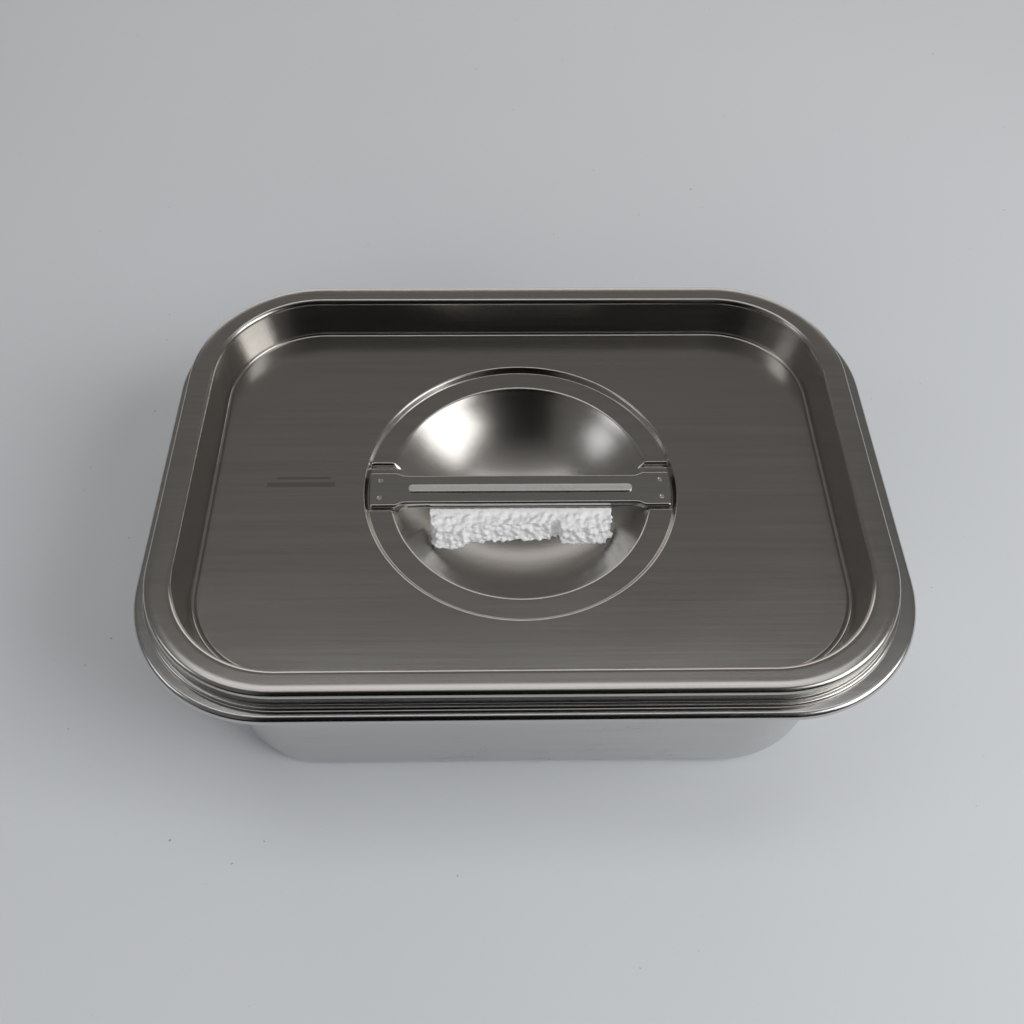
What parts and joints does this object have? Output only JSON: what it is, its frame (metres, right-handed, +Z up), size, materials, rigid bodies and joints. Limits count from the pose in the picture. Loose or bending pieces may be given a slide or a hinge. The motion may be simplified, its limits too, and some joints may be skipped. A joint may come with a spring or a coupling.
{
  "type": "instrument tray",
  "caption": "Lidded stainless instrument tray with round corners, a sunken lid and a strap handle across a finger dish.",
  "frame": {"origin": "middle of the pan's underside, on the surface that the tray stands on", "axes": "+X along the long side, +Y towards the back, +Z up"},
  "size_m": [0.33, 0.2356, 0.0979],
  "materials": {
    "pan_steel": "satin, with a bright rolled edge",
    "lid_steel": "fine straight brushing, glossier in the dish",
    "strap_steel": "brushed, with a frosted rib",
    "weld_steel": "small bright weld marks",
    "bead_foam": "white expanded bead foam, broken edges"
  },
  "bodies": {
    "pan": {"tray_pan": "pan_steel"},
    "lid": {"lid_shell": "lid_steel", "handle_strap": "strap_steel", "spot_welds": "weld_steel"},
    "foam": {"packing_foam": "bead_foam"}
  },
  "joints": [
    {"name": "lid_lift", "type": "slide", "parent": "pan", "child": "lid", "axis": [0, 0, 1], "range_m": [0, 0.12]},
    {"name": "foam_lift", "type": "slide", "parent": "lid", "child": "foam", "axis": [0, 0, 1], "range_m": [0, 0.06]}
  ]
}
